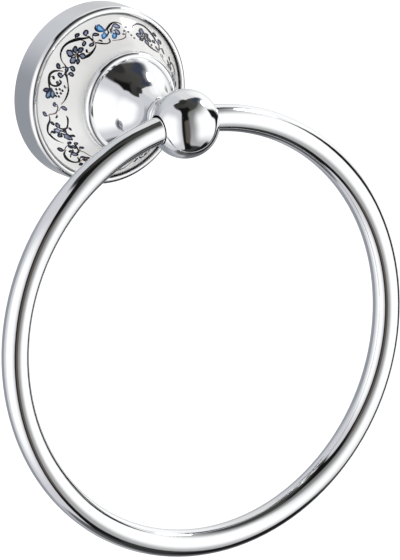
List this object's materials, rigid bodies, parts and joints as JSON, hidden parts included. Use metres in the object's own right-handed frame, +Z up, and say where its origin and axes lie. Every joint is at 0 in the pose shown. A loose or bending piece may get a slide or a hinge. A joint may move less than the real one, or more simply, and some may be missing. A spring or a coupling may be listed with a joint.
{
  "type": "towel ring",
  "caption": "Wall-mounted towel ring: a chrome cup, a white glazed ceramic rose with a scroll decal, a turned bell post and a ball head that holds a swinging round ring.",
  "frame": {"origin": "centre of the cup's back edge, on the wall, midway between the two wall screws", "axes": "+Z up, +Y into the wall along the post's axis, so the ball and ring stand out towards -Y; +X along the hinge line of the ring"},
  "size_m": [0.16, 0.0748, 0.1862],
  "materials": {
    "cup_chrome": "polished",
    "post_chrome": "polished",
    "ring_chrome": "polished",
    "ceramic": "glazed",
    "plate_steel": "zinc plated",
    "screw_steel": "plain",
    "gasket": "matte"
  },
  "bodies": {
    "bracket": {"wall_plate": "plate_steel", "base_cup": "cup_chrome", "set_screw": "screw_steel", "base_gasket": "gasket", "ceramic_ring": "ceramic", "collar_gasket": "gasket", "bell_post": "post_chrome", "centre_screw": "screw_steel", "spring_washer": "screw_steel", "ball_head": "post_chrome"},
    "ring": {"towel_ring": "ring_chrome"}
  },
  "joints": [
    {"name": "ring_swing", "type": "hinge", "parent": "bracket", "child": "ring", "pos_m": [0, -0.0627, 0], "axis": [-1, 0, 0], "range_deg": [-22, 202]}
  ]
}
